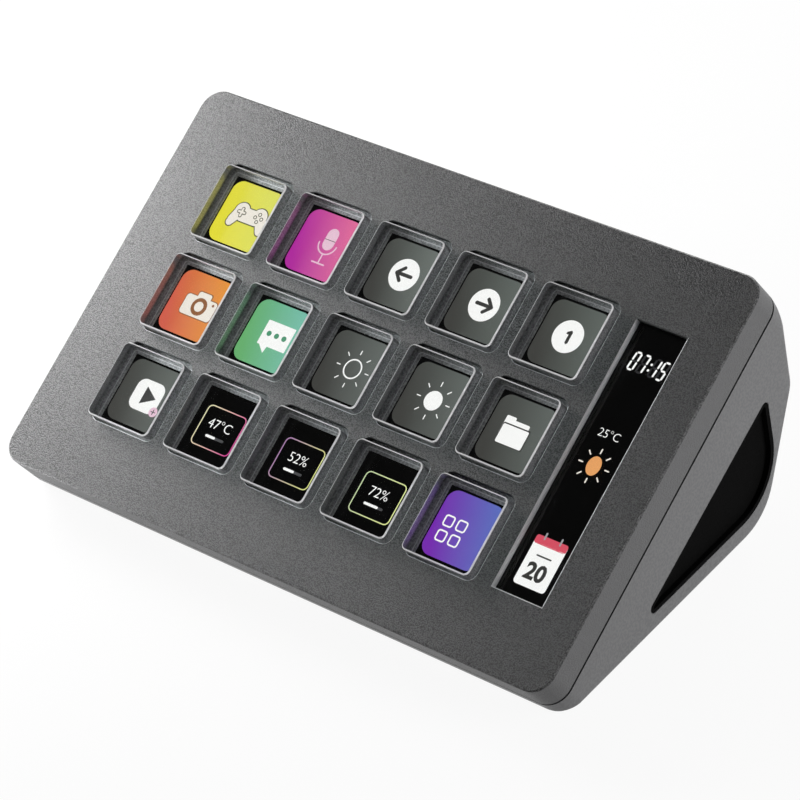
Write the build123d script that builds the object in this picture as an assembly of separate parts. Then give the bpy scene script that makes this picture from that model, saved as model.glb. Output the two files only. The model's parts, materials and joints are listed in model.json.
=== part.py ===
from build123d import *
import os
from math import sin, cos, tan, radians

# Desk keypad with fifteen clear display keys and a strip display, on a wedge-shaped stand.
# +X right, +Y to the back, +Z up; the origin is on the table, under the middle of the object.
# The front cover, keys and display lie on the tilted face: x right, y up the face, z out of it.

# ---- driving dimensions, in millimetres and degrees ----
# front cover
FACE_W, FACE_H, FACE_R = 136.0, 84.0, 4.5      # front face and its corner radius
TILT = 28.4                                    # face against the table
COVER_DEPTH, COVER_FACE, WALL = 6.35, 1.2, 2.0
COVER_CHAMFER = 0.3
SEAM = 0.5                                     # shadow line between cover and shell
LAP_T, LAP_TOP, LAP_GAP = 1.0, -4.4, 0.15      # the shell's rim stands inside the cover's wall
RIB_X_W, RIB_Y_W, RIB_BOTTOM = 1.6, 0.8, -2.5  # ribs between the keys, behind the face

# keys
ROWS, COLS, PITCH = 3, 5, 20.0
GRID_X = -4.8                                  # grid centre, left of the face centre
KEY_W, KEY_R, KEY_CHAMFER, KEY_TOP = 15.9, 1.2, 0.25, 2.0
FLANGE_W, FLANGE_H, FLANGE_T = 17.5, 18.3, 0.8
HOLE_W, HOLE_H, HOLE_R, HOLE_RISE = 16.6, 17.3, 2.0, 0.37   # holes leave a slot above each key
HOLE_CHAMFER = 0.12
TRAVEL, STOP_GAP = 0.6, 0.02                   # key stroke, and play at the upper stop

# strip window
STRIP_X, STRIP_W, STRIP_H, STRIP_CHAMFER = 53.15, 11.3, 54.6, 0.22
LENS_T, LENS_LAP, LENS_R, BOND_T = 1.0, 1.1, 0.8, 0.05
GASKET_INSET = 0.5                             # gasket's inner edge, outside the window

# sheets and display behind the keys
MAT_T, FILM_T = 0.3, 0.2
WINDOW_W, WINDOW_H, WINDOW_RISE, FILM_GAP = 13.5, 14.3, -0.2, 0.3   # the film's windows are wider
RIM_W, RIM_DEPTH, RIM_R = 0.9, 0.12, 0.8       # step round each window of the mat
MAT_LEFT, MAT_RIGHT, MAT_HALF_H = -57.0, 45.2, 33.8
LCD_LEFT, LCD_RIGHT, LCD_HALF_H, LCD_T, GLASS_T = -57.5, 62.3, 34.0, 2.6, 1.0
LIGHT_INSET = 0.6                              # backlight inside the glass's outline
TRAY_LEFT, TRAY_RIGHT, TRAY_HALF_H, TRAY_T = -58.5, 64.4, 34.6, 0.8
LIP_T, LIP_H, LIP_L, LIP_X = 0.4, 1.6, 12.0, (-30.0, 34.0)   # turned-up lips that hold the display
TRAY_GAP = 0.1

# bosses, towers and screws
BOSS_Y, BOSS_R, BOSS_HOLE_R = 36.6, 1.9, 1.0
TRAY_SCREW_X = (-48.0, 4.0, 54.0)
CASE_SCREW_X = (-61.0, -22.0, 22.0, 61.0)
TOWER_R, TOWER_BORE_R, TOWER_SHANK_R = 3.0, 2.5, 1.2
HEAD_SEAT = -8.4                               # case screw heads, below the face
SCREW_R, SCREW_HEAD_R, SCREW_HEAD_T = 0.95, 1.9, 1.3
SMALL_R, SMALL_HEAD_R, SMALL_HEAD_T = 0.8, 1.6, 1.0
TRAY_SCREW_L, CASE_SCREW_L, SMALL_SCREW_L = 4.2, 5.6, 3.0
HEAD_BEVEL = 0.35                              # part of the head's height
CROSS_W, CROSS_L, CROSS_DEPTH = 0.45, 2.1, 0.6   # arm of the cross recess, its length and depth
EAR_R, SCREW_HOLE_R = 2.2, 1.15

# main board
BOARD_X, BOARD_Y, BOARD_W, BOARD_H, BOARD_T = -4.0, -4.0, 84.0, 40.0, 1.2
STANDOFF_H, STANDOFF_R, STANDOFF_INSET = 2.4, 2.2, 4.0
BOARD_R = 2.0
SOCKET_T, SOCKET_L, SOCKET_WALL, SOCKET_INSET = 1.2, 4.5, 1.5, 0.8
RIBBON_T, RIBBON_W, RIBBON_REACH = 0.2, 20.0, 4.4
TAIL_X, TAIL_W, TAIL_Y, TAIL_BEND_R = 17.0, 10.0, 36.2, 1.2
CHIPS = {"controller": (-8.0, -8.0, 12.0, 12.0, 1.3), "memory": (6.0, -6.0, 8.0, 6.0, 1.0),
         "flash": (6.0, -14.0, 5.0, 6.0, 1.0), "choke": (20.0, -10.0, 5.0, 5.0, 2.2),
         "capacitor": (28.0, -8.0, 3.2, 6.4, 1.6), "regulator": (-22.0, -12.0, 4.0, 4.0, 0.9)}

# rear shell
FRONT_RIM_H = 3.4                              # cover's front rim above the base
BACK_R, HEEL_R, TOE_R, EDGE_R = 5.0, 11.0, 2.5, 1.2   # rounds of the side outline and its edges
LEAST_R = 0.6                                  # smallest round inside the shell
HEEL_Y, UNDERCUT_H = 28.0, 23.3                # base's rear end behind the face centre; undercut
DRAFT, DRAFT_START = 1.0, -10.0                # the sides lean in below this depth
LUG_X, LUG_W, LUG_T, LUG_TOP = (-40.0, 0.0, 40.0), 12.0, 0.95, -2.3
LUG_ROOT = 1.6                                 # how far a lug runs down the shell's wall
HOOK, HOOK_BOTTOM, HOOK_FLAT = 0.75, -3.3, 0.4
CATCH_TOP, CATCH_BOTTOM, CATCH_DEPTH, CATCH_PLAY = -2.2, -3.5, 0.9, 0.3

# side inlays: level below, upright behind, with a sloping edge along the face
INLAY_FRONT, INLAY_REAR = -10.1, 32.3          # from the face centre
INLAY_LOW, INLAY_PEAK = 4.0, 25.7              # above the base
INLAY_R, INLAY_TIP_R = 11.5, 1.1
INLAY_DEPTH, INLAY_RIM, INLAY_FLANGE, INLAY_T, INLAY_GAP = 1.1, 0.8, 1.5, 1.0, 0.1

# feet
FOOT_PROUD, FOOT_W, FOOT_L, FOOT_T, FOOT_R, FOOT_CHAMFER = 0.8, 18.0, 7.0, 1.4, 3.0, 0.3
FOOT_X, FOOT_FRONT_Y, FOOT_REAR_Y = 46.0, -22.0, 13.5

# inlet: USB-C receptacle on its own board
USB_W, USB_H, USB_L, USB_WALL = 8.94, 3.26, 7.35, 0.3
USB_Z, USB_SLOT_GAP, USB_INSET = 28.8, 0.25, 0.4
TONGUE_W, TONGUE_T, TONGUE_BACK, TONGUE_L = 6.69, 0.7, 1.5, 5.0
USB_BOARD_W, USB_BOARD_L, USB_BOARD_T = 24.0, 15.0, 1.2
SHELF_L, SHELF_T, SHELF_HOLE_X = 10.0, 1.6, 8.0
SHELF_RIB_X, SHELF_RIB_W, SHELF_RIB_L = 4.0, 1.4, 9.0
USB_BOARD_GAP, USB_SCREW_INSET = 0.2, 3.0      # board to back wall; screws from the shelf's edge
PLUG_W, PLUG_L, PLUG_T = 9.0, 4.0, 2.6         # plugs at the ends of the inner cable
CABLE_X, CABLE_Y, CABLE_W, CABLE_T, CABLE_BEND_R = -8.0, 11.0, 5.0, 1.0, 2.5
CABLE_DROP, CABLE_RISE = 9.0, 6.0              # straight ends of its slack loop

FIT = 0.05                                     # gap round a piece that seats in another
ROOT = 0.5                                     # how far a rib, rim or tower runs into its wall
PAST = 1.0                                     # how far a cut runs past a face
FAR = 60.0                                     # beyond the whole object
SHARP = 12.0                                   # a corner sharper than this is rounded
CHAMFER_ANGLE = 45.0

# ---- the tilted face, and what follows from the sizes above ----
S, C = sin(radians(TILT)), cos(radians(TILT))
FACE_Z = FOOT_PROUD + FRONT_RIM_H + COVER_DEPTH * C + FACE_H / 2 * S
FRONT_REACH = FACE_H / 2 * C - COVER_CHAMFER * S
BACK_REACH = FACE_H / 2 * C + COVER_DEPTH * S
FACE_Y = (FRONT_REACH - BACK_REACH) / 2
BACK_Y = FACE_Y + BACK_REACH
FACE = Plane(origin=(0, FACE_Y, FACE_Z), x_dir=(1, 0, 0), z_dir=(0, -S, C))

FLANGE_TOP = -COVER_FACE - STOP_GAP
KEY_BOTTOM = FLANGE_TOP - FLANGE_T
FLANGE_RISE = (FLANGE_H - FLANGE_W) / 2
MAT_TOP = KEY_BOTTOM - TRAVEL - FIT
FILM_TOP = MAT_TOP - MAT_T
LCD_TOP = FILM_TOP - FILM_T
LENS_TOP = -COVER_FACE - BOND_T
LENS_BOTTOM = LENS_TOP - LENS_T
TRAY_TOP = LCD_TOP - LCD_T - TRAY_GAP
TRAY_BOTTOM = TRAY_TOP - TRAY_T
BOARD_TOP = TRAY_BOTTOM - STANDOFF_H
BOARD_BOTTOM = BOARD_TOP - BOARD_T
SHELL_TOP = -COVER_DEPTH - SEAM
INNER_Y = FACE_H / 2 - WALL
LCD_SOCKET_X = BOARD_X - BOARD_W / 2 + SOCKET_INSET
TAIL_SOCKET_Y = BOARD_Y + BOARD_H / 2 - SOCKET_INSET
USB_BOARD_TOP = USB_Z - USB_H / 2
USB_BOARD_BOTTOM = USB_BOARD_TOP - USB_BOARD_T
USB_BOARD_BACK = BACK_Y - WALL - USB_BOARD_GAP
USB_SCREW_Y = BACK_Y - WALL - SHELF_L + USB_SCREW_INSET
USB_PLUG_Y = USB_BOARD_BACK - USB_BOARD_L + PLUG_L / 2


# ---- placing and plain forms ----
def on_face(shape):
    """Move a shape from the face's own coordinates to the object's."""
    return shape.moved(FACE.location)


def to_face(y, z):
    """The face's own y and z of a point of the object."""
    return (y - FACE_Y) * C + (z - FACE_Z) * S, (z - FACE_Z) * C - (y - FACE_Y) * S


def slab(w, h, top, bottom, r=0.0, x=0.0, y=0.0):
    """Upright block on the face, from one depth down to another, with rounded corners."""
    outline = RectangleRounded(w, h, r) if r else Rectangle(w, h)
    return Pos(x, y, bottom) * extrude(outline, amount=top - bottom)


def span(x0, x1, y0, y1, top, bottom, r=0.0):
    """The same block, given by its edges."""
    return slab(x1 - x0, y1 - y0, top, bottom, r, (x0 + x1) / 2, (y0 + y1) / 2)


def peg(r, top, bottom, x=0.0, y=0.0):
    """Upright round peg on the face."""
    return Pos(x, y, bottom) * extrude(Circle(r), amount=top - bottom)


def pegs(r, top, bottom, places):
    return [peg(r, top, bottom, x, y) for x, y in places]


def bent_strip(points, radius, thickness, width, x):
    """Flat ribbon of one width that follows a path in the face's y-z plane."""
    path = FilletPolyline(*[(x, y, z) for y, z in points], radius=radius)
    profile = Plane(path @ 0, x_dir=(1, 0, 0), z_dir=path % 0) * Rectangle(width, thickness)
    return sweep(profile, path=path)


# ---- where things repeat ----
def key_places():
    """Row, column and centre of every key, row one at the top."""
    return [(row + 1, col + 1, GRID_X + (col - (COLS - 1) / 2) * PITCH, ((ROWS - 1) / 2 - row) * PITCH)
            for row in range(ROWS) for col in range(COLS)]


def tray_screw_places():
    return [(x, side * BOSS_Y) for x in TRAY_SCREW_X for side in (-1, 1)]


def case_screw_places():
    return [(x, -BOSS_Y) for x in CASE_SCREW_X]


def board_screw_places():
    dx = BOARD_W / 2 - STANDOFF_INSET
    dy = BOARD_H / 2 - STANDOFF_INSET
    return [(BOARD_X + i * dx, BOARD_Y + j * dy) for i in (-1, 1) for j in (-1, 1)]


def foot_places():
    return {f"foot_{row}_{side}": (x, y)
            for row, y in (("front", FOOT_FRONT_Y), ("rear", FOOT_REAR_Y))
            for side, x in (("left", -FOOT_X), ("right", FOOT_X))}


# ---- front cover and what it carries ----
def guide_ribs():
    """Ribs behind the face that part the keys' flanges."""
    left = GRID_X - COLS / 2 * PITCH
    right = GRID_X + COLS / 2 * PITCH
    half = ROWS / 2 * PITCH
    upright = [slab(RIB_X_W, 2 * half, -COVER_FACE, RIB_BOTTOM, 0, left + i * PITCH)
               for i in range(COLS + 1)]
    level = [slab(right - left, RIB_Y_W, -COVER_FACE, RIB_BOTTOM, 0, GRID_X, FLANGE_RISE - half + j * PITCH)
             for j in range(ROWS + 1)]
    return upright + level


def opening(w, h, r, edge, x, y=0.0):
    """What a hole takes out of the face; it flares at the top, for the chamfered edge."""
    outline = RectangleRounded(w, h, r) if r else Rectangle(w, h)
    flare = Pos(x, y, -edge) * extrude(outline, amount=2 * edge, taper=-CHAMFER_ANGLE)
    return flare + slab(w, h, 0, RIB_BOTTOM - PAST, r, x, y)


def front_cover():
    """Moulded cover: face and walls, key holes, strip window, ribs, bosses and snap catches."""
    body = slab(FACE_W, FACE_H, 0, -COVER_DEPTH, FACE_R)
    body = chamfer(body.faces().sort_by(Axis.Z)[-1].edges(), COVER_CHAMFER)
    below = -COVER_DEPTH - PAST
    body -= slab(FACE_W - 2 * WALL, FACE_H - 2 * WALL, -COVER_FACE, below, FACE_R - WALL)
    body -= slab(FACE_W - 2 * LAP_T, FACE_H - 2 * LAP_T, LAP_TOP, below, FACE_R - LAP_T)
    body += guide_ribs()
    bosses = tray_screw_places() + case_screw_places()
    body += pegs(BOSS_R, -COVER_FACE, TRAY_TOP, bosses)
    body -= pegs(BOSS_HOLE_R, -COVER_FACE, TRAY_TOP - PAST, bosses)
    body -= [opening(HOLE_W, HOLE_H, HOLE_R, HOLE_CHAMFER, x, y + HOLE_RISE) for _, _, x, y in key_places()]
    body -= opening(STRIP_W, STRIP_H, 0, STRIP_CHAMFER, STRIP_X)
    half = LUG_W / 2 + CATCH_PLAY
    body -= [span(x - half, x + half, INNER_Y - PAST, INNER_Y + CATCH_DEPTH, CATCH_TOP, CATCH_BOTTOM)
             for x in LUG_X]
    return body


def key():
    """Clear moulded block with a flange that holds it behind the face."""
    block = slab(KEY_W, KEY_W, KEY_TOP, KEY_BOTTOM, KEY_R)
    block = chamfer(block.faces().sort_by(Axis.Z)[-1].edges(), KEY_CHAMFER)
    return block + slab(FLANGE_W, FLANGE_H, FLANGE_TOP, KEY_BOTTOM, 0, 0, FLANGE_RISE)


def strip_lens():
    """Clear window, bonded behind the face."""
    return slab(STRIP_W + 2 * LENS_LAP, STRIP_H + 2 * LENS_LAP, LENS_TOP, LENS_BOTTOM, LENS_R, STRIP_X)


def strip_gasket():
    """Foam frame that keeps dust out between the lens and the display."""
    ring = slab(STRIP_W + 2 * LENS_LAP, STRIP_H + 2 * LENS_LAP, LENS_BOTTOM, LCD_TOP, LENS_R, STRIP_X)
    return ring - slab(STRIP_W + 2 * GASKET_INSET, STRIP_H + 2 * GASKET_INSET,
                       LENS_BOTTOM + PAST, LCD_TOP - PAST, 0, STRIP_X)


def windows(top, bottom, grow=0.0, r=0.0):
    """Blocks that cut one window under each key."""
    return [slab(WINDOW_W + 2 * grow, WINDOW_H + 2 * grow, top, bottom, r, x, y + WINDOW_RISE)
            for _, _, x, y in key_places()]


def sheet(top, thickness):
    """Plain sheet under all the keys."""
    return span(MAT_LEFT, MAT_RIGHT, -MAT_HALF_H, MAT_HALF_H, top, top - thickness)


def key_mat():
    """Silicone mat that carries and returns the keys, shown pressed flat, with step-rimmed windows."""
    mat = sheet(MAT_TOP, MAT_T) - windows(MAT_TOP + PAST, FILM_TOP - PAST)
    return mat - windows(MAT_TOP + PAST, MAT_TOP - RIM_DEPTH, RIM_W, RIM_R)


def contact_film():
    """Printed contact sheet with its tail, folded round the display to the main board."""
    high = FILM_TOP - FILM_T / 2
    low = BOARD_BOTTOM - RIBBON_T
    tail = bent_strip([(MAT_HALF_H - 1, high), (TAIL_Y, high), (TAIL_Y, low), (TAIL_SOCKET_Y, low)],
                      TAIL_BEND_R, FILM_T, TAIL_W, TAIL_X)
    return sheet(FILM_TOP, FILM_T) - windows(FILM_TOP + PAST, LCD_TOP - PAST, FILM_GAP) + tail


def lcd_panel():
    """Display module: glass on a backlight, one panel behind all keys and the strip."""
    glass = span(LCD_LEFT, LCD_RIGHT, -LCD_HALF_H, LCD_HALF_H, LCD_TOP, LCD_TOP - GLASS_T)
    light = span(LCD_LEFT + LIGHT_INSET, LCD_RIGHT - LIGHT_INSET, -LCD_HALF_H + LIGHT_INSET,
                 LCD_HALF_H - LIGHT_INSET, LCD_TOP - GLASS_T, LCD_TOP - LCD_T)
    return glass + light


def lcd_ribbon():
    """Flexible cable from the display's left edge round the tray to the main board."""
    high = LCD_TOP - GLASS_T - (LCD_T - GLASS_T) / 2
    low = BOARD_BOTTOM - RIBBON_T
    turn_x = LCD_LEFT - RIBBON_REACH
    route = [(LCD_LEFT + LIGHT_INSET, high), (turn_x, high), (turn_x, low), (LCD_SOCKET_X, low)]
    path = FilletPolyline(*[(x, BOARD_Y, z) for x, z in route], radius=(high - low) / 2 - FIT)
    profile = Plane(path @ 0, x_dir=(0, 1, 0), z_dir=path % 0) * Rectangle(RIBBON_W, RIBBON_T)
    return sweep(profile, path=path)


def lcd_tray():
    """Pressed steel tray that clamps the display: lips, screw ears and board standoffs."""
    tray = span(TRAY_LEFT, TRAY_RIGHT, -TRAY_HALF_H, TRAY_HALF_H, TRAY_TOP, TRAY_BOTTOM)
    for x in TRAY_SCREW_X:
        ear = slab(2 * EAR_R, 2 * (BOSS_Y + EAR_R), TRAY_TOP, TRAY_BOTTOM, 0, x)
        tray += chamfer(ear.edges().filter_by(Axis.Z), EAR_R / 2)
    tray -= pegs(TOWER_R + TRAY_GAP, TRAY_TOP + PAST, TRAY_BOTTOM - PAST, case_screw_places())
    for side in (-1, 1):
        lip = side * (LCD_HALF_H + TRAY_GAP + LIP_T / 2)
        tray += [slab(LIP_L, LIP_T, TRAY_TOP + LIP_H, TRAY_TOP, 0, x, lip) for x in LIP_X]
    tray += slab(LIP_T, LIP_L, TRAY_TOP + LIP_H, TRAY_TOP, 0, LCD_RIGHT + TRAY_GAP + LIP_T / 2)
    tray += pegs(STANDOFF_R, TRAY_BOTTOM, BOARD_TOP, board_screw_places())
    tray -= pegs(SMALL_R + FIT, TRAY_TOP + PAST, BOARD_TOP - PAST, board_screw_places())
    tray -= pegs(SCREW_HOLE_R, TRAY_TOP + PAST, TRAY_BOTTOM - PAST, tray_screw_places())
    return tray


# ---- main board ----
def main_board():
    """Green board on the tray's four standoffs."""
    board = slab(BOARD_W, BOARD_H, BOARD_TOP, BOARD_BOTTOM, BOARD_R, BOARD_X, BOARD_Y)
    return board - pegs(SCREW_HOLE_R, BOARD_TOP + PAST, BOARD_BOTTOM - PAST, board_screw_places())


def board_chips():
    """Controller, memory and power parts, soldered under the main board."""
    return [slab(w, h, BOARD_BOTTOM, BOARD_BOTTOM - t, 0, x, y) for x, y, w, h, t in CHIPS.values()]


def board_sockets():
    """Ribbon sockets for the display and contact film, and the plug of the inner cable."""
    low = BOARD_BOTTOM - SOCKET_T
    display = slab(SOCKET_L, RIBBON_W + 2 * SOCKET_WALL, BOARD_BOTTOM, low, 0,
                   LCD_SOCKET_X + SOCKET_L / 2, BOARD_Y)
    contacts = slab(TAIL_W + 2 * SOCKET_WALL, SOCKET_L, BOARD_BOTTOM, low, 0,
                    TAIL_X, TAIL_SOCKET_Y - SOCKET_L / 2)
    plug = slab(PLUG_W, PLUG_L, BOARD_BOTTOM, BOARD_BOTTOM - PLUG_T, 0, CABLE_X, CABLE_Y)
    return [display, contacts, plug]


# ---- screws ----
def screw(length, shank_r, head_r, head_t):
    """Pan-head screw that stands on its head: its seat is at zero, its shank points up."""
    head = chamfer(peg(head_r, 0, -head_t).faces().sort_by(Axis.Z)[0].edges(), HEAD_BEVEL * head_t)
    return head + peg(shank_r, length, 0)


def cross_recess(head_t):
    """Driver's recess of a screw that is turned from outside."""
    cross = Rectangle(CROSS_L, CROSS_W) + Rectangle(CROSS_W, CROSS_L)
    return Pos(0, 0, -head_t) * extrude(cross, amount=CROSS_DEPTH)


def face_screws(one, places, seat):
    return [on_face(Pos(x, y, seat) * one) for x, y in places]


# ---- rear shell ----
def side_outline(inset=0.0):
    """Wedge seen from the side, as a prism across the whole width."""
    front_y = FACE_Y - FACE_H / 2 * C
    front_z = FACE_Z - FACE_H / 2 * S
    base = FOOT_PROUD + inset
    toe_y = front_y + (front_z - base) / C * S + inset / C
    heel_slope = (BACK_Y - FACE_Y - HEEL_Y) / UNDERCUT_H
    slant = inset * (1 + heel_slope ** 2) ** 0.5
    heel_y = FACE_Y + HEEL_Y + heel_slope * inset - slant
    back = BACK_Y - inset
    knee_z = FOOT_PROUD + UNDERCUT_H + (slant - inset) / heel_slope
    high = 2 * FACE_Z
    start = toe_y - (high - base) / C * S
    corners = [(start, high), (toe_y, base), (heel_y, base), (back, knee_z), (back, high)]
    outline = Polyline(*[(0, y, z) for y, z in corners], close=True)
    prism = extrude(make_face(outline), amount=FACE_W, both=True)
    for (y, z), r in ((corners[1], TOE_R), (corners[2], HEEL_R), (corners[3], BACK_R)):
        edge = prism.edges().filter_by(Axis.X).sort_by_distance((0, y, z))[0]
        prism = fillet(edge, max(r - inset, LEAST_R))
    return prism


def leaning_side(side, inset=0.0):
    """What the drafted side cuts away, as a block beyond it."""
    block = Rot(0, DRAFT, 0) * Box(FAR, 3 * FAR, 2 * FAR, align=(Align.MIN, Align.CENTER, Align.MAX))
    block = Pos(FACE_W / 2 - inset, 0, DRAFT_START) * block
    return on_face(block if side > 0 else mirror(block, Plane.YZ))


def shell_form():
    """Outer form: the wedge under the cover's outline, between the leaning sides."""
    form = on_face(slab(FACE_W, FACE_H, SHELL_TOP, -FAR, FACE_R)) & side_outline()
    return form - leaning_side(1) - leaning_side(-1)


def shell_hollow(inset):
    """Room inside the shell: the same form, drawn in by the wall and open at the rim."""
    front, back = -FACE_H / 2 + inset, FACE_H
    half = FACE_W / 2 - inset
    form = on_face(span(-half, half, front, back, SHELL_TOP + PAST, -FAR, FACE_R - inset))
    return (form & side_outline(inset)) - leaning_side(1, inset) - leaning_side(-1, inset)


def rounded_form():
    """Outer form with its edges between the sides and the base, heel and back rounded."""
    form = shell_form()
    edges = []
    for edge in form.edges():
        mid = edge @ 0.5
        at_rim = FACE.to_local_coords(mid).Z > SHELL_TOP - FIT
        if at_rim or abs(mid.X) < FACE_W / 2 - FACE_R - ROOT:
            continue
        one, two = [f for f in form.faces() if any(e.is_same(edge) for e in f.edges())]
        if one.normal_at(mid).get_angle(two.normal_at(mid)) > SHARP:
            edges.append(edge)
    return fillet(edges, EDGE_R)


def lap_rim():
    """Rim that stands up inside the cover's wall."""
    play = 2 * (LAP_T + LAP_GAP)
    rim = slab(FACE_W - play, FACE_H - play, LAP_TOP - LAP_GAP, SHELL_TOP - ROOT, FACE_R - play / 2)
    return rim - slab(FACE_W - 2 * WALL, FACE_H - 2 * WALL, 0, SHELL_TOP - PAST, FACE_R - WALL)


def snap_lug(x):
    """Hooked tongue on the upper rim that catches behind the cover's wall."""
    outer = INNER_Y - LAP_GAP
    tongue = span(x - LUG_W / 2, x + LUG_W / 2, outer - LUG_T, outer, LUG_TOP, SHELL_TOP - LUG_ROOT)
    hook = Polyline((0, outer - FIT, LUG_TOP), (0, outer + HOOK, HOOK_BOTTOM + HOOK_FLAT),
                    (0, outer + HOOK, HOOK_BOTTOM), (0, outer - FIT, HOOK_BOTTOM), close=True)
    return tongue + Pos(x, 0, 0) * extrude(make_face(hook), amount=LUG_W / 2, both=True)


def inlet_shelf():
    """Shelf behind the back wall that carries the inlet board, on two gussets."""
    wall_y = BACK_Y - WALL + ROOT
    shelf = Pos(0, wall_y, USB_BOARD_BOTTOM) * Box(USB_BOARD_W, SHELF_L + ROOT, SHELF_T,
                                                   align=(Align.CENTER, Align.MAX, Align.MAX))
    shelf -= [Pos(x, USB_SCREW_Y, USB_BOARD_BOTTOM) * Cylinder(SMALL_R + FIT, 4 * SHELF_T)
              for x in (-SHELF_HOLE_X, SHELF_HOLE_X)]
    low = USB_BOARD_BOTTOM - SHELF_T
    gusset = make_face(Polyline((0, wall_y, low), (0, wall_y - SHELF_RIB_L, low),
                                (0, wall_y, low - SHELF_RIB_L), close=True))
    gusset = extrude(gusset, amount=SHELF_RIB_W / 2, both=True) & side_outline(ROOT)
    return [shelf] + [Pos(x, 0, 0) * gusset for x in (-SHELF_RIB_X, SHELF_RIB_X)]


def rear_shell():
    """Wedge-shaped housing: lap rim, snap lugs, screw towers, foot pockets and inlet shelf."""
    body = rounded_form() - shell_hollow(WALL)
    body += on_face(lap_rim())
    body += [on_face(snap_lug(x)) for x in LUG_X]
    outline = side_outline(ROOT)
    body += [on_face(tower) & outline for tower in pegs(TOWER_R, TRAY_TOP, -FAR, case_screw_places())]
    body -= [on_face(hole) for hole in pegs(TOWER_SHANK_R, 0, -FAR, case_screw_places())]
    body -= [on_face(bore) for bore in pegs(TOWER_BORE_R, HEAD_SEAT, -FAR, case_screw_places())]
    body -= [foot_block(x, y, FIT) for x, y in foot_places().values()]
    body += inlet_shelf()
    body -= inlet_slot()
    body -= [inlay_block(side, INLAY_GAP, -2 * WALL, PAST) for side in (-1, 1)]
    return body


# ---- side inlays ----
def side_plane():
    """Right side of the shell: origin beside the face centre, x to the back and y up."""
    lean = tan(radians(DRAFT))
    normal = Vector(1, S * lean, -C * lean).normalized()
    return Plane(origin=(FACE_W / 2 - lean * DRAFT_START, FACE_Y, FACE_Z),
                 x_dir=Vector(0, 1, 0) - normal * normal.Y, z_dir=normal)


def inlay_outline(grow=0.0):
    """Three-cornered outline with one large round."""
    base = FOOT_PROUD - FACE_Z
    tip = (INLAY_FRONT, base + INLAY_LOW)
    corner = (INLAY_REAR, base + INLAY_LOW)
    peak = (INLAY_REAR, base + INLAY_PEAK)
    face = make_face(Polyline(tip, corner, peak, close=True))
    for point, r in ((corner, INLAY_R), (tip, INLAY_TIP_R), (peak, INLAY_TIP_R)):
        face = fillet(face.vertices().sort_by_distance((*point, 0))[0], r)
    return offset(face, grow) if grow else face


def inlay_block(side, grow, low, high):
    """Block of the inlay's outline, from one height to another above the leaning side."""
    block = side_plane() * Pos(0, 0, low) * extrude(inlay_outline(grow), amount=high - low)
    return block if side > 0 else mirror(block, Plane.YZ)


def side_inlay(side):
    """Dished black insert, pushed into the side from inside, with a bonded flange."""
    body = inlay_block(side, 0, -WALL - INLAY_T / 2, -FIT)
    body -= inlay_block(side, -INLAY_RIM, -INLAY_DEPTH, PAST)
    flange = inlay_block(side, INLAY_FLANGE, -WALL - INLAY_T, 0)
    return body + (flange & shell_hollow(WALL + FIT))


# ---- feet ----
def foot_block(x, y, grow=0.0):
    outline = RectangleRounded(FOOT_W + 2 * grow, FOOT_L + 2 * grow, FOOT_R + grow)
    return Pos(x, y, 0) * extrude(outline, amount=FOOT_T)


def foot(x, y):
    """Rubber pad, glued in its pocket."""
    pad = foot_block(x, y)
    return chamfer(pad.faces().sort_by(Axis.Z)[0].edges(), FOOT_CHAMFER)


# ---- inlet at the back ----
def oval(inset=0.0):
    """Flat-sided round-ended outline of the receptacle, facing the back."""
    h = USB_H - 2 * inset
    return Plane.XZ * RectangleRounded(USB_W - 2 * inset, h, h / 2 - 0.001)


def inlet_slot():
    """Slot through the back wall, round the receptacle."""
    return Pos(0, BACK_Y, USB_Z) * extrude(oval(-USB_SLOT_GAP), amount=3 * WALL, both=True)


def usb_board():
    """Small level board behind the back wall."""
    board = Pos(0, USB_BOARD_BACK, USB_BOARD_BOTTOM) * Box(
        USB_BOARD_W, USB_BOARD_L, USB_BOARD_T, align=(Align.CENTER, Align.MAX, Align.MIN))
    return board - [Pos(x, USB_SCREW_Y, USB_BOARD_TOP) * Cylinder(SCREW_HOLE_R, 4 * USB_BOARD_T)
                    for x in (-SHELF_HOLE_X, SHELF_HOLE_X)]


def usb_socket():
    """Folded steel shell of the receptacle."""
    tube = extrude(oval() - oval(USB_WALL), amount=USB_L)
    return Pos(0, BACK_Y - USB_INSET, USB_Z) * tube


def usb_tongue():
    """Moulded insert: the contact tongue on its block at the closed end."""
    end_y = BACK_Y - USB_INSET - USB_L
    block = Pos(0, end_y + TONGUE_BACK, USB_Z) * extrude(oval(USB_WALL), amount=TONGUE_BACK)
    blade = Plane.XZ * RectangleRounded(TONGUE_W, TONGUE_T, 0.2)
    return block + Pos(0, end_y + TONGUE_BACK + TONGUE_L, USB_Z) * extrude(blade, amount=TONGUE_L)


def inlet_plug():
    """Plug of the inner cable, under the inlet board."""
    return Pos(CABLE_X, USB_PLUG_Y, USB_BOARD_BOTTOM) * Box(
        PLUG_W, PLUG_L, PLUG_T, align=(Align.CENTER, Align.CENTER, Align.MAX))


def inlet_cable():
    """Flat inner cable, in a slack loop from the main board's plug to the inlet's."""
    start = (CABLE_Y, BOARD_BOTTOM - PLUG_T)
    end = to_face(USB_PLUG_Y, USB_BOARD_BOTTOM - PLUG_T)
    low = (start[0], start[1] - CABLE_DROP)
    turn = (end[0] - CABLE_RISE * S, end[1] - CABLE_RISE * C)
    return bent_strip([start, low, turn, end], CABLE_BEND_R, CABLE_T, CABLE_W, CABLE_X)


def inlet_screws(one):
    """Two screws down through the inlet board into the shelf."""
    return [Pos(x, USB_SCREW_Y, USB_BOARD_TOP) * Rot(180, 0, 0) * one
            for x in (-SHELF_HOLE_X, SHELF_HOLE_X)]


# ---- write one file for each piece ----
def write(name, shape):
    if isinstance(shape, list):
        shape = Compound(children=shape)
    export_step(shape, f"parts/{name}.step")


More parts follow.
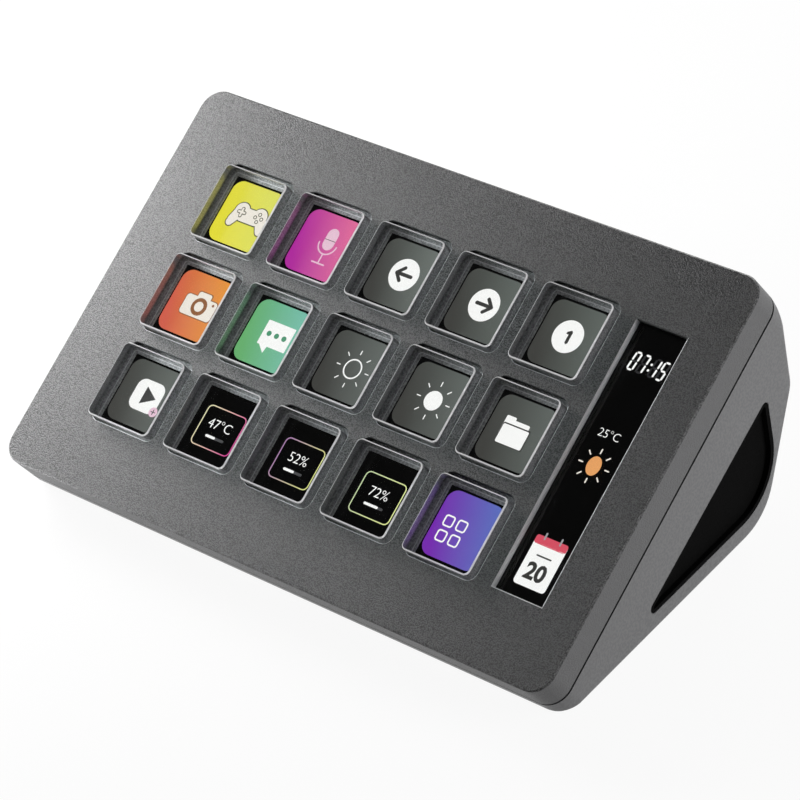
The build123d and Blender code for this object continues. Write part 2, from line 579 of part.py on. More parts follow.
def main():
    os.makedirs("parts", exist_ok=True)
    one_key = key()
    for row, col, x, y in key_places():
        write(f"key_r{row}_c{col}", on_face(Pos(x, y, 0) * one_key))
    for make in (front_cover, strip_lens, strip_gasket, key_mat, contact_film, lcd_panel, lcd_ribbon,
                 lcd_tray, main_board, inlet_cable):
        write(make.__name__, on_face(make()))
    for make in (board_chips, board_sockets):
        write(make.__name__, [on_face(piece) for piece in make()])
    for make in (rear_shell, usb_board, usb_socket, usb_tongue, inlet_plug):
        write(make.__name__, make())
    case_screw = screw(CASE_SCREW_L, SCREW_R, SCREW_HEAD_R, SCREW_HEAD_T)
    case_screw -= cross_recess(SCREW_HEAD_T)
    tray_screw = screw(TRAY_SCREW_L, SCREW_R, SCREW_HEAD_R, SCREW_HEAD_T)
    small_screw = screw(SMALL_SCREW_L, SMALL_R, SMALL_HEAD_R, SMALL_HEAD_T)
    write("case_screws", face_screws(case_screw, case_screw_places(), HEAD_SEAT))
    write("tray_screws", face_screws(tray_screw, tray_screw_places(), TRAY_BOTTOM))
    write("board_screws", face_screws(small_screw, board_screw_places(), BOARD_BOTTOM))
    write("inlet_screws", inlet_screws(small_screw))
    for name, side in (("left", -1), ("right", 1)):
        write(f"side_inlay_{name}", side_inlay(side))
    for name, (x, y) in foot_places().items():
        write(name, foot(x, y))


main()
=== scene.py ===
import json
from math import cos, pi, radians, sin

import bpy
from mathutils import Matrix, Quaternion, Vector


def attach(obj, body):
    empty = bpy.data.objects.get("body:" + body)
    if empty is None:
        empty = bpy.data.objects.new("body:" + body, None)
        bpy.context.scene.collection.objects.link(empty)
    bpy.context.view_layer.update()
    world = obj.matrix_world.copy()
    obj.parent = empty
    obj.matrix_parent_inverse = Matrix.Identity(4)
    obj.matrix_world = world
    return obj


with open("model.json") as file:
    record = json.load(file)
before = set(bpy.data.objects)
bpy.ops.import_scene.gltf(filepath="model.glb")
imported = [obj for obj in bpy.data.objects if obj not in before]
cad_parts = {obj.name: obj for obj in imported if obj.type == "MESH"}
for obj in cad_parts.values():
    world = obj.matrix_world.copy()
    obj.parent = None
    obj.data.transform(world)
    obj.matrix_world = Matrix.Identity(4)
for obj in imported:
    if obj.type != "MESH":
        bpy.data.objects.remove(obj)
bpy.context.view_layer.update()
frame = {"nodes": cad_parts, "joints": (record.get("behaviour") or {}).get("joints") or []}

# A desk keypad with fifteen clear display keys and a strip display, on a wedge-shaped stand.
# Lengths are metres, in the frame's own axes: x right, y to the back, z up from the table. Names that
# end in _MM hold millimetres, and so do all sizes of the flat drawings on the display.
nodes = frame["nodes"]
bpy.ops.object.select_all(action="DESELECT")


# ---- Front cover ----
# Injection-moulded ABS from a spark-eroded tool, left satin with an even grain. The real grain is about
# 0.1 mm; it is drawn coarser, so that it shows. In the openings, the bevels and the walls that face right
# carry a painted highlight, and the bevels and walls on the top sides carry painted shade in black.
MM = 0.001
OUT = -Vector(frame["joints"][0]["axis"]).normalized()   # out of the tilted face, against the keys' travel
RIGHT = Vector((1, 0, 0))                                # along the rows of keys
UP = OUT.cross(RIGHT)                                    # up the face, to its back edge
GRAIN_MM = 0.24
GRAIN_DARK, GRAIN_LIGHT = 0.42, 0.58                     # noise drawn as the darker and the lighter shade
BEVEL_FACING, RIM_SPREAD = cos(pi / 4), 0.06             # how far a bevel faces out, and give or take
WALL_FACING = 0.3                                        # what faces out less than this is a wall
# walls facing right past RIGHT_WALL_FACING get a painted highlight; bevels and walls facing down the face
# past UPPER_FACING get painted shade
RIGHT_WALL_FACING, UPPER_FACING = 0.9, -0.3
RIM_KEEP_OFF_MM = 3.0                                    # the face's own outer edge keeps its texture


def reach(node, way):
    """Lowest and highest place that a node reaches along a direction."""
    places = [vertex.co.dot(way) for vertex in nodes[node].data.vertices]
    return min(places), max(places)


def srgb(code):
    """Linear colour of an sRGB hex value."""
    parts = [int(code[i:i + 2], 16) / 255 for i in (1, 3, 5)]
    return [p / 12.92 if p <= 0.04045 else ((p + 0.055) / 1.055) ** 2.4 for p in parts] + [1.0]


def add_node(material, kind, links=None, **settings):
    """Add a shader node with its settings; links gives its sockets values or other nodes' outputs."""
    tree = material.node_tree
    node = tree.nodes.new("ShaderNode" + kind)
    for setting, value in settings.items():
        setattr(node, setting, value)
    for socket, value in (links or {}).items():
        if isinstance(value, bpy.types.NodeSocket):
            tree.links.new(value, node.inputs[socket])
        else:
            node.inputs[socket].default_value = value
    return node


def link(material, output, socket):
    material.node_tree.links.new(output, socket)


def new_material(name, **plain):
    """A material around one Principled shader; plain gives its sockets, with _ for a space."""
    material = bpy.data.materials.new(name)
    material.use_nodes = True
    shader = material.node_tree.nodes["Principled BSDF"]
    for socket, value in plain.items():
        shader.inputs[socket.replace("_", " ")].default_value = value
    return material, shader


def grained(name, dark, light, grain_mm, relief_mm, sparkle=0.0, **plain):
    """Moulded or cast finish: one grain that shifts the colour between two shades and stands in relief.
    With sparkle it roughens and smooths the surface too, by that much each way."""
    made, shader = new_material(name, **plain)
    place = add_node(made, "TexCoord").outputs["Object"]
    noise = add_node(made, "TexNoise", {"Vector": place, "Scale": 1 / (grain_mm * MM), "Detail": 1.0})
    grain = add_node(made, "MapRange", {"Value": noise.outputs["Fac"], "From Min": GRAIN_DARK,
                                        "From Max": GRAIN_LIGHT}).outputs["Result"]
    if sparkle:
        plain_rough = shader.inputs["Roughness"].default_value
        rough = add_node(made, "MapRange", {"Value": grain, "To Min": plain_rough + sparkle,
                                            "To Max": plain_rough - sparkle})
        link(made, rough.outputs["Result"], shader.inputs["Roughness"])
    shade = add_node(made, "Mix", {"Factor": grain, 6: srgb(dark), 7: srgb(light)}, data_type="RGBA")
    relief = add_node(made, "Bump", {"Height": grain, "Distance": relief_mm * MM})
    link(made, shade.outputs[2], shader.inputs["Base Color"])
    link(made, relief.outputs["Normal"], shader.inputs["Normal"])
    return made


def painted_rim_highlight_and_shade(material):
    """Untextured parts of the cover. Its walls are plain. In the openings, the bevels and the walls that
    face right carry a painted highlight in near white, and those on the top sides painted shade in black."""
    shader = material.node_tree.nodes["Principled BSDF"]
    textured = shader.inputs["Base Color"].links[0].from_socket
    normal = add_node(material, "NewGeometry").outputs["Normal"]
    place = add_node(material, "TexCoord").outputs["Object"]
    outward, sideways, uphill = [
        add_node(material, "VectorMath", {0: normal, 1: way}, operation="DOT_PRODUCT").outputs["Value"]
        for way in (OUT, RIGHT, UP)]
    wall = add_node(material, "Math", {0: outward, 1: WALL_FACING}, operation="LESS_THAN").outputs[0]
    bevel = add_node(material, "Math", {0: outward, 1: BEVEL_FACING, 2: RIM_SPREAD}, operation="COMPARE")
    lower = add_node(material, "Math", {0: uphill, 1: UPPER_FACING}, operation="GREATER_THAN")
    # Painted shade mask: the bevels and walls on the openings' top sides, which are coloured black.
    upper = add_node(material, "Math", {0: uphill, 1: UPPER_FACING}, operation="LESS_THAN").outputs[0]
    facing_right = add_node(material, "Math", {0: sideways, 1: RIGHT_WALL_FACING}, operation="GREATER_THAN")
    painted_highlight = add_node(material, "Math", {0: bevel.outputs[0], 1: lower.outputs[0]}, operation="MULTIPLY")
    painted_highlight = add_node(material, "Math", {0: painted_highlight.outputs[0], 1: facing_right.outputs[0]},
                      operation="MAXIMUM").outputs[0]
    for way in (RIGHT, UP):
        low, high = reach("front_cover", way)
        along = add_node(material, "VectorMath", {0: place, 1: way}, operation="DOT_PRODUCT")
        within = add_node(material, "Math", {0: along.outputs["Value"], 1: (low + high) / 2,
                                             2: (high - low) / 2 - RIM_KEEP_OFF_MM * MM}, operation="COMPARE")
        painted_highlight, upper = [
            add_node(material, "Math", {0: part, 1: within.outputs[0]}, operation="MULTIPLY").outputs[0]
            for part in (painted_highlight, upper)]
    # Walls get a plain grey, the painted highlight near white and the painted shade black.
    shade = textured
    for part, colour in ((wall, "#444445"), (painted_highlight, "#f4f4f6"), (upper, "#040405")):
        shade = add_node(material, "Mix", {"Factor": part, 6: shade, 7: srgb(colour)},
                         data_type="RGBA").outputs[2]
    link(material, shade, shader.inputs["Base Color"])
    return material


def finish(material, *names):
    """Give CAD nodes their material."""
    for name in names:
        for slot in nodes[name].material_slots:
            slot.material = material


finish(painted_rim_highlight_and_shade(grained("spark_textured_abs", "#0e0e0f", "#606061", grain_mm=GRAIN_MM, relief_mm=0.03,
                             sparkle=0.05, Roughness=0.5, IOR=1.53)), "front_cover")


# ---- Rear shell ----
# The same ABS from a finely blasted tool, screwed to the cover from below. It is smoother than the cover,
# so it shines softly.
finish(grained("satin_abs", "#4f4f50", "#59595a", grain_mm=0.5, relief_mm=0.004, Roughness=0.42, IOR=1.53),
       "rear_shell")


# ---- Side inlays ----
# Matt black ABS with a deep spark texture, pushed into the shell's side openings from inside. They give
# back almost no light.
finish(grained("matt_black_abs", "#030303", "#060606", grain_mm=GRAIN_MM, relief_mm=0.01, Roughness=0.9,
               IOR=1.53, Specular_IOR_Level=0.04), "side_inlay_left", "side_inlay_right")


# ---- Keys ----
# Moulded clear acrylic blocks with polished tops. The walls are ground, so they show the cover's grey and
# not the display. The bevels round the tops are ground too, and carry a painted highlight: they glow by
# emission as pale lines.
KEYS = [name for name in nodes if name.startswith("key_r")]
TOP_FROM, TOP_FULL = 0.75, 0.95                # how far a surface faces out where the polish starts, is full
WALL_FROM, WALL_FULL = 0.6, 0.4                # the same for the ground walls
KEY_BEVEL_SPREAD = 0.2
WALL_ROUGH, BEVEL_ROUGH, WALL_HAZE, BEVEL_HAZE = 0.3, 0.7, 0.75, 0.7


def pass_light(material, shader):
    """Let clear plastic throw only a faint shadow."""
    clear = add_node(material, "BsdfTransparent", {"Color": srgb("#e4e8e8")})
    path = add_node(material, "LightPath")
    mix = add_node(material, "MixShader", {0: path.outputs["Is Shadow Ray"], 1: shader.outputs["BSDF"],
                                           2: clear.outputs["BSDF"]})
    link(material, mix.outputs["Shader"], material.node_tree.nodes["Material Output"].inputs["Surface"])


clear_acrylic = grained("clear_acrylic", "#4e4e50", "#8a8a8c", grain_mm=GRAIN_MM, relief_mm=0.0, IOR=1.49)
shader = clear_acrylic.node_tree.nodes["Principled BSDF"]
shade = shader.inputs["Base Color"].links[0].from_socket
facing = add_node(clear_acrylic, "VectorMath", {
    0: add_node(clear_acrylic, "NewGeometry").outputs["Normal"], 1: OUT}, operation="DOT_PRODUCT")
level = add_node(clear_acrylic, "Math", {0: facing.outputs["Value"]}, operation="ABSOLUTE").outputs[0]
top = add_node(clear_acrylic, "MapRange", {"Value": level, "From Min": TOP_FROM, "From Max": TOP_FULL})
wall = add_node(clear_acrylic, "MapRange", {"Value": level, "From Min": WALL_FROM,
                                            "From Max": WALL_FULL}).outputs["Result"]
bevel = add_node(clear_acrylic, "Math", {0: level, 1: BEVEL_FACING, 2: KEY_BEVEL_SPREAD},
                 operation="COMPARE").outputs[0]
shade = add_node(clear_acrylic, "Mix", {"Factor": wall, 6: srgb("#fafbfb"), 7: shade}, data_type="RGBA")
shade = add_node(clear_acrylic, "Mix", {"Factor": bevel, 6: shade.outputs[2], 7: srgb("#6c6c6e")},
                 data_type="RGBA")
rough = add_node(clear_acrylic, "MapRange", {"Value": top.outputs["Result"], "To Min": WALL_ROUGH,
                                             "To Max": 0.0})
rough = add_node(clear_acrylic, "Math", {0: bevel, 1: BEVEL_ROUGH - WALL_ROUGH, 2: rough.outputs["Result"]},
                 operation="MULTIPLY_ADD")
haze = add_node(clear_acrylic, "Math", {0: wall, 1: WALL_HAZE}, operation="MULTIPLY")
haze = add_node(clear_acrylic, "Math", {0: bevel, 1: BEVEL_HAZE, 2: haze.outputs[0]},
                operation="MULTIPLY_ADD")
clear = add_node(clear_acrylic, "Math", {0: 1.0, 1: haze.outputs[0]}, operation="SUBTRACT")
# Painted highlight: the bevels glow by emission, so they show as pale lines round each key.
glow = add_node(clear_acrylic, "Mix", {"Factor": bevel, 6: srgb("#000000"), 7: srgb("#a2a2a2")},
                data_type="RGBA")
link(clear_acrylic, shade.outputs[2], shader.inputs["Base Color"])
link(clear_acrylic, rough.outputs[0], shader.inputs["Roughness"])
link(clear_acrylic, clear.outputs[0], shader.inputs["Transmission Weight"])
link(clear_acrylic, glow.outputs[2], shader.inputs["Emission Color"])
shader.inputs["Emission Strength"].default_value = 1.0
pass_light(clear_acrylic, shader)
finish(clear_acrylic, *KEYS)


# ---- Strip window ----
# Clear acrylic sheet, polished and coated against reflections, bonded behind the cover. Only the black
# and the readout under it show.
window_acrylic, shader = new_material("window_acrylic", IOR=1.49, Base_Color=srgb("#fafbfb"), Roughness=0.0,
                                      Transmission_Weight=1.0, Specular_IOR_Level=0.15)
pass_light(window_acrylic, shader)
finish(window_acrylic, "strip_lens")


# ---- Sheets behind the keys ----
# Moulded grey silicone mat, black printed polyester contact sheet, and a die-cut foam frame under the
# window. The mat shows as a pale edge through each key, the foam as plain black.
finish(grained("moulded_silicone", "#9c9c9e", "#c8c8ca", grain_mm=0.4, relief_mm=0.006, Roughness=0.5,
               IOR=1.43), "key_mat")
finish(grained("printed_polyester", "#0c0c0d", "#151517", grain_mm=0.3, relief_mm=0.002, Roughness=0.45),
       "contact_film")
finish(grained("closed_cell_foam", "#050505", "#0c0c0c", grain_mm=0.25, relief_mm=0.01, Roughness=0.95,
               Specular_IOR_Level=0.1), "strip_gasket")


# ---- Display panel ----
# Glass over a black matrix, clamped behind the sheets by the tray. Where nothing is shown it is a deep,
# faintly cloudy black.
finish(grained("display_glass", "#000000", "#020202", grain_mm=4.0, relief_mm=0.0, Roughness=0.15, IOR=1.52,
               Specular_IOR_Level=0.1), "lcd_panel")


# ---- Metal parts ----
# Tray pressed from zinc-plated sheet, zinc-plated screws and a nickel-plated receptacle shell. The plating
# is cloudy in colour and in shine.
PLATING_CLOUD = 0.06                           # how much the roughness varies each way


def plated(name, dark, light, roughness, cloud_mm):
    made, shader = new_material(name, Metallic=1.0)
    place = add_node(made, "TexCoord").outputs["Object"]
    cloud = add_node(made, "TexNoise", {"Vector": place, "Scale": 1 / (cloud_mm * MM),
                                        "Detail": 3.0}).outputs["Fac"]
    shade = add_node(made, "Mix", {"Factor": cloud, 6: srgb(dark), 7: srgb(light)}, data_type="RGBA")
    rough = add_node(made, "MapRange", {"Value": cloud, "To Min": roughness - PLATING_CLOUD,
                                        "To Max": roughness + PLATING_CLOUD})
    link(made, shade.outputs[2], shader.inputs["Base Color"])
    link(made, rough.outputs["Result"], shader.inputs["Roughness"])
    return made


finish(plated("zinc_plated_sheet", "#b6b8bb", "#cfd1d3", roughness=0.38, cloud_mm=3.0), "lcd_tray")
finish(plated("zinc_plated_screw", "#a3a5a8", "#c3c5c8", roughness=0.32, cloud_mm=1.0),
       "tray_screws", "case_screws", "board_screws", "inlet_screws")
finish(plated("nickel_plated_shell", "#b9b6b0", "#d5d2cb", roughness=0.28, cloud_mm=2.0), "usb_socket")


# ---- Boards and cables ----
# Glass-epoxy laminate under green solder mask; its copper tracks show as lighter lines. Black epoxy chips,
# ivory nylon sockets, an amber polyimide display cable and a grey flat cable to the inlet.
TRACK_CELL_MM, TRACK_SHARE, TRACK_RELIEF_MM = 6.4, 0.03, 0.03
CORE_SPACING_MM, CORE_RELIEF_MM = 1.0, 0.1

solder_mask, shader = new_material("green_solder_mask", Roughness=0.3, IOR=1.55)
tracks = add_node(solder_mask, "TexBrick", {
    "Vector": add_node(solder_mask, "TexCoord").outputs["Object"], "Scale": 1 / (TRACK_CELL_MM * MM),
    "Color1": srgb("#0b4026"), "Color2": srgb("#0d4a2b"), "Mortar": srgb("#1c6a3f"),
    "Mortar Size": TRACK_SHARE})
proud = add_node(solder_mask, "Bump", {"Height": tracks.outputs["Fac"], "Distance": TRACK_RELIEF_MM * MM})
link(solder_mask, tracks.outputs["Color"], shader.inputs["Base Color"])
link(solder_mask, proud.outputs["Normal"], shader.inputs["Normal"])
finish(solder_mask, "main_board", "usb_board")

finish(grained("moulded_epoxy", "#18181a", "#26262a", grain_mm=0.2, relief_mm=0.004, Roughness=0.55),
       "board_chips")
finish(grained("ivory_nylon", "#dcd6c6", "#e8e3d6", grain_mm=1.0, relief_mm=0.004, Roughness=0.4),
       "board_sockets", "inlet_plug")
finish(grained("amber_polyimide", "#8a4a12", "#b0691f", grain_mm=1.0, relief_mm=0.002, Roughness=0.3,
               IOR=1.65), "lcd_ribbon")
finish(grained("black_contact_resin", "#101011", "#1a1a1c", grain_mm=0.5, relief_mm=0.004, Roughness=0.45),
       "usb_tongue")

sheath, shader = new_material("flat_cable_sheath", Roughness=0.5)
cores = add_node(sheath, "TexWave", {"Vector": add_node(sheath, "TexCoord").outputs["Object"],
                                     "Scale": 1 / (pi * CORE_SPACING_MM * MM)}).outputs["Fac"]
shade = add_node(sheath, "Mix", {"Factor": cores, 6: srgb("#202022"), 7: srgb("#38383c")}, data_type="RGBA")
ribs = add_node(sheath, "Bump", {"Height": cores, "Distance": CORE_RELIEF_MM * MM})
link(sheath, shade.outputs[2], shader.inputs["Base Color"])
link(sheath, ribs.outputs["Normal"], shader.inputs["Normal"])
finish(sheath, "inlet_cable")


# ---- Feet ----
# Moulded black rubber pads, glued into pockets in the shell's base. They are matt and grip the table.
# Their grain is drawn coarser than the real one.
finish(grained("matt_rubber", "#161617", "#232325", grain_mm=0.3, relief_mm=0.02, Roughness=0.8),
       *[name for name in nodes if name.startswith("foot_")])


# ---- Display artwork ----
# What the display shows, as very thin lit sheets on its glass: one piece behind each key. Each is drawn
# flat in millimetres from the key's middle, layer on layer, and then laid in its place.
GLASS_TOP = reach("lcd_panel", OUT)[1]
LAYER = 0.04
MOTTLE_MM, MOTTLE_SHADE = 0.4, 0.86            # size and darkest shade of a plain colour's faint mottle
CORNER_STEPS = 6                               # steps of a rounded corner
END_GAP = 0.001                                # keeps the two corners of a round end apart
TYPE_SIZE = 1.37                               # type size that makes a digit one high
MERGE = 0.002                                  # points of a digit that lie closer than this are one
TOP_DEPTH_MM = 0.1                             # what lies less deep than this is a key's top face
TILE_MM, TILE_R, TILE_GRADE = 13.1, 2.3, 0.35  # width, corner, and how steeply its colour climbs


def lit(name, colour, far_colour=None, start=None, run=None, strength=1.0):
    """Backlit colour. A graded one goes to far_colour along run, a vector from the place start."""
    made, shader = new_material(name, Base_Color=srgb("#050505"), Roughness=0.3, Emission_Strength=strength)
    place = add_node(made, "TexCoord").outputs["Object"]
    if far_colour:
        along = add_node(made, "VectorMath", {0: place, 1: start}, operation="SUBTRACT")
        share = add_node(made, "VectorMath", {0: along.outputs["Vector"], 1: run / run.length_squared},
                         operation="DOT_PRODUCT").outputs["Value"]
        far = srgb(far_colour)
    else:
        share = add_node(made, "TexNoise", {"Vector": place, "Scale": 1 / (MOTTLE_MM * MM)}).outputs["Fac"]
        far = [MOTTLE_SHADE * part for part in srgb(colour)[:3]] + [1.0]
    mix = add_node(made, "Mix", {"Factor": share, 6: srgb(colour), 7: far}, data_type="RGBA")
    link(made, mix.outputs[2], shader.inputs["Emission Color"])
    return made


WHITE = lit("lit_white", "#fcfcfa", strength=1.15)
PALE = lit("lit_pale", "#f6efe4", strength=1.08)
PINK = lit("lit_pale_pink", "#f6cfe2")
INK = lit("lit_ink", "#3a3a38")
BROWN = lit("lit_brown", "#955c2c")
OLIVE = lit("lit_olive", "#3c4014")
GREEN = lit("lit_ink_green", "#4f9e77")
SHADE = lit("lit_shade", "#4a4a4c")


def raised(shape, material):
    """Finish a flat outline as a closed sheet one layer thick."""
    bpy.ops.object.mode_set(mode="EDIT")
    bpy.ops.mesh.select_all(action="SELECT")
    bpy.ops.mesh.extrude_region_move(TRANSFORM_OT_translate={"value": (0, 0, LAYER)})
    bpy.ops.mesh.select_all(action="SELECT")
    bpy.ops.mesh.normals_make_consistent(inside=False)
    bpy.ops.object.mode_set(mode="OBJECT")
    shape.data.materials.append(material)
    return shape


def plate(material, level, w, h, r=0.0, x=0.0, y=0.0, turn=0.0, steps=CORNER_STEPS, hole=0.0):
    """Rounded rectangle; with hole it is only a frame of that width."""
    bpy.ops.mesh.primitive_plane_add(size=1, location=(x, y, level * LAYER), rotation=(0, 0, turn))
    shape = bpy.context.object
    shape.scale = (w, h, 1)
    bpy.ops.object.transform_apply(location=False, rotation=True, scale=True)
    bpy.ops.object.mode_set(mode="EDIT")
    if r:
        bpy.ops.mesh.bevel(offset=r, segments=steps, affect="VERTICES")
    if hole:
        bpy.ops.mesh.select_all(action="SELECT")
        bpy.ops.mesh.inset(thickness=hole, use_even_offset=True)
        bpy.ops.mesh.delete(type="FACE")
    bpy.ops.object.mode_set(mode="OBJECT")
    return raised(shape, material)


def disc(material, level, r, x=0.0, y=0.0, hole=0.0, corners=40, turn=0.0):
    """Disc, or with hole a ring of that width; three corners make a triangle."""
    bpy.ops.mesh.primitive_circle_add(vertices=corners, radius=r, fill_type="NGON",
                                      location=(x, y, level * LAYER), rotation=(0, 0, turn))
    shape = bpy.context.object
    bpy.ops.object.transform_apply(location=False, rotation=True, scale=True)
    if hole:
        bpy.ops.object.mode_set(mode="EDIT")
        bpy.ops.mesh.select_all(action="SELECT")
        bpy.ops.mesh.inset(thickness=hole)
        bpy.ops.mesh.delete(type="FACE")
        bpy.ops.object.mode_set(mode="OBJECT")
    return raised(shape, material)


def bar(material, level, width, x0, y0, x1, y1, steps=CORNER_STEPS):
    """Round-ended bar between two points."""
    line = Vector((x1 - x0, y1 - y0))
    turn = line.angle_signed(Vector((1, 0))) if line.length else 0.0
    return plate(material, level, line.length + width, width, width / 2 - END_GAP,
                 (x0 + x1) / 2, (y0 + y1) / 2, turn, steps)


def figures(material, level, text, height, x, y, bold):
    """Numbers, centred on a point."""
    bpy.ops.object.select_all(action="DESELECT")
    bpy.ops.object.text_add(location=(x, y, (level + 0.5) * LAYER))
    shape = bpy.context.object
    shape.data.body = text
    shape.data.size = height * TYPE_SIZE
    shape.data.align_x = "CENTER"
    shape.data.align_y = "CENTER"
    shape.data.extrude = LAYER / 2
    shape.data.offset = bold
    shape.data.resolution_u = 3
    bpy.ops.object.convert(target="MESH")
    bpy.ops.object.mode_set(mode="EDIT")
    bpy.ops.mesh.select_all(action="SELECT")
    bpy.ops.mesh.remove_doubles(threshold=MERGE)
    bpy.ops.mesh.normals_make_consistent(inside=False)
    bpy.ops.object.mode_set(mode="OBJECT")
    shape.data.materials.clear()
    shape.data.materials.append(material)
    return shape


def copied(shape, x, y, turn=0.0):
    """Copy of a drawn sheet, with its own mesh, at another place."""
    copy = shape.copy()
    copy.data = shape.data.copy()
    bpy.context.collection.objects.link(copy)
    copy.location = (x, y, shape.location.z)
    copy.rotation_euler.z = turn
    return copy


def on_glass(x, y):
    """Place on the display's glass, for a drawing in millimetres."""
    place = (Matrix((RIGHT, UP, OUT)).transposed() * MM).to_4x4()
    place.translation = RIGHT * x + UP * y + OUT * GLASS_TOP
    return place


def lay(name, shapes, place):
    """Join the drawn sheets into one piece and lay it in its place."""
    bpy.ops.object.select_all(action="DESELECT")
    for shape in shapes:
        shape.select_set(True)
    bpy.context.view_layer.objects.active = shapes[0]
    bpy.ops.object.transform_apply(location=True, rotation=True, scale=True)
    bpy.ops.object.join()
    piece = bpy.context.object
    piece.name = name
    piece.matrix_world = place
    bpy.ops.object.transform_apply(location=True, rotation=True, scale=True)
    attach(piece, "housing")


def key_middle(name):
    """Middle of a key's top face, in the face's own axes."""
    top = reach(name, OUT)[1] - TOP_DEPTH_MM * MM
    corners = [vertex.co for vertex in nodes[name].data.vertices if vertex.co.dot(OUT) > top]
    across = [corner.dot(RIGHT) for corner in corners]
    upward = [corner.dot(UP) for corner in corners]
    return (min(across) + max(across)) / 2, (min(upward) + max(upward)) / 2


def ground(name, colour, far_colour):
    """A key's own graded ground, from the left to the upper right."""
    x, y = key_middle(name)
    start = RIGHT * (x - TILE_MM / 2 * MM) + UP * y
    run = (RIGHT + UP * TILE_GRADE) * TILE_MM * MM
    return plate(lit("lit_" + name, colour, far_colour, start, run), 0, TILE_MM, TILE_MM, TILE_R)


def handset(material, level, grow):
    """Handset for games: a waist between two round shoulders, with a grip hanging from each."""
    x = 0.75
    shapes = [plate(material, level, 5.4 + 2 * grow, 3.0 + 2 * grow, 0.9, x, 0.2)]
    for side in (-1, 1):
        shapes += [disc(material, level, 1.75 + grow, x + side * 2.3, 0.75),
                   bar(material, level, 1.7 + 2 * grow, x + side * 2.7, -0.2, x + side * 3.85, -2.0),
                   bar(material, level, 1.9 + 2 * grow, x + side * 3.0, 0.8, x + side * 3.7, -1.4)]
    return shapes


def draw_gamepad():
    shapes = handset(OLIVE, 1, 0.22) + handset(PALE, 2, 0)
    x, y, arm = -1.45, 0.5, 0.75               # the cross
    for ink, level, width in ((OLIVE, 3, 0.8), (PALE, 4, 0.45)):
        shapes += [bar(ink, level, width, x - arm, y, x + arm, y),
                   bar(ink, level, width, x, y - arm, x, y + arm)]
    x, y, spread = 2.92, 0.45, 0.8             # the four buttons
    button = disc(OLIVE, 3, 0.42, x + spread, y, hole=0.15, corners=16)
    return shapes + [button] + [copied(button, x + i * spread, y + j * spread)
                                for i, j in ((0, 1), (-1, 0), (0, -1))]


def draw_microphone():
    x, y = 1.0, 0.6                            # bottom of the capsule's straight part
    cradle = disc(PINK, 1, 2.3, x, y, hole=0.28)
    bpy.ops.object.mode_set(mode="EDIT")
    bpy.ops.mesh.select_all(action="SELECT")
    bpy.ops.mesh.bisect(plane_co=(0, y, 0), plane_no=(0, 1, 0), use_fill=True, clear_outer=True)
    bpy.ops.object.mode_set(mode="OBJECT")
    return [cradle, bar(PINK, 1, 2.6, x, 2.6, x, y), bar(INK, 2, 0.12, x - 1.25, 1.4, x + 1.25, 1.4, 1),
            bar(PINK, 1, 0.28, x, -1.7, x, -3.5), bar(PINK, 1, 0.3, x - 1.5, -3.6, x + 1.5, -3.6)]


def arrow(way, x):
    """Arrow on a white disc; way is -1 for left and 1 for right."""
    y, width, head = 0.2, 0.72, 1.35
    tip = x + way * 1.75
    shapes = [disc(WHITE, 1, 3.3, x, y), bar(INK, 2, width, tip, y, x - way * 1.7, y)]
    return shapes + [bar(INK, 2, width, tip, y, tip - way * head, y + side * head) for side in (-1, 1)]


def draw_left():
    return arrow(-1, 0.4)


def draw_right():
    return arrow(1, 0.0)


def draw_one():
    x, top = 0.1, 1.2
    return [disc(WHITE, 1, 3.25, -0.2, 0.2), bar(INK, 2, 0.66, x, top, x, -1.0, 0),
            bar(INK, 2, 0.55, x, top, -0.55, 0.8, 0)]


def draw_camera():
    shapes = []
    for ink, level, grow in ((BROWN, 1, 0.2), (PALE, 2, 0)):
        shapes += [plate(ink, level, 7.9 + 2 * grow, 4.2 + 2 * grow, 0.7 + grow, 0.85, -0.2),
                   plate(ink, level, 3.3 + 2 * grow, 2.0 + 2 * grow, 0.5, 1.0, 2.0)]
    lens_x = 0.9
    return shapes + [disc(BROWN, 3, 1.85, lens_x), disc(PALE, 4, 1.05, lens_x),
                     disc(BROWN, 3, 0.28, 3.9, 1.15)]


def draw_bubble():
    x, y, step = 1.05, 0.3, 1.9
    dot = disc(GREEN, 2, 0.55, x, y)
    return [plate(WHITE, 1, 6.9, 5.1, 0.15, x, y),
            disc(WHITE, 1, 1.35, -0.55, -2.4, corners=3, turn=radians(200)),
            dot, copied(dot, x - step, y), copied(dot, x + step, y)]


def rays(material, level, r0, r1, width, x, y):
    """Eight rays round a sun."""
    ray = bar(material, level, width, x + r0, y, x + r1, y, 2)
    r = (r0 + r1) / 2
    turns = [i * pi / 4 for i in range(1, 8)]
    return [ray] + [copied(ray, x + r * cos(turn), y + r * sin(turn), turn) for turn in turns]


def draw_ring_sun():
    x, y = 0.6, -0.1
    return [disc(WHITE, 1, 2.05, x, y, hole=0.28)] + rays(WHITE, 1, 3.1, 3.85, 0.2, x, y)


def draw_full_sun():
    x, y = 0.35, 0
    return [disc(WHITE, 1, 1.95, x, y)] + rays(WHITE, 1, 3.05, 3.85, 0.2, x, y)


def draw_folder():
    return [plate(WHITE, 1, 5.6, 3.4, 0.35, -0.7, 0.5), plate(WHITE, 1, 2.2, 0.9, 0.3, -2.4, 2.3),
            plate(INK, 2, 6.3, 4.2, 0.3, -0.3, -0.75), plate(WHITE, 3, 5.9, 3.75, 0.3, -0.35, -0.8)]


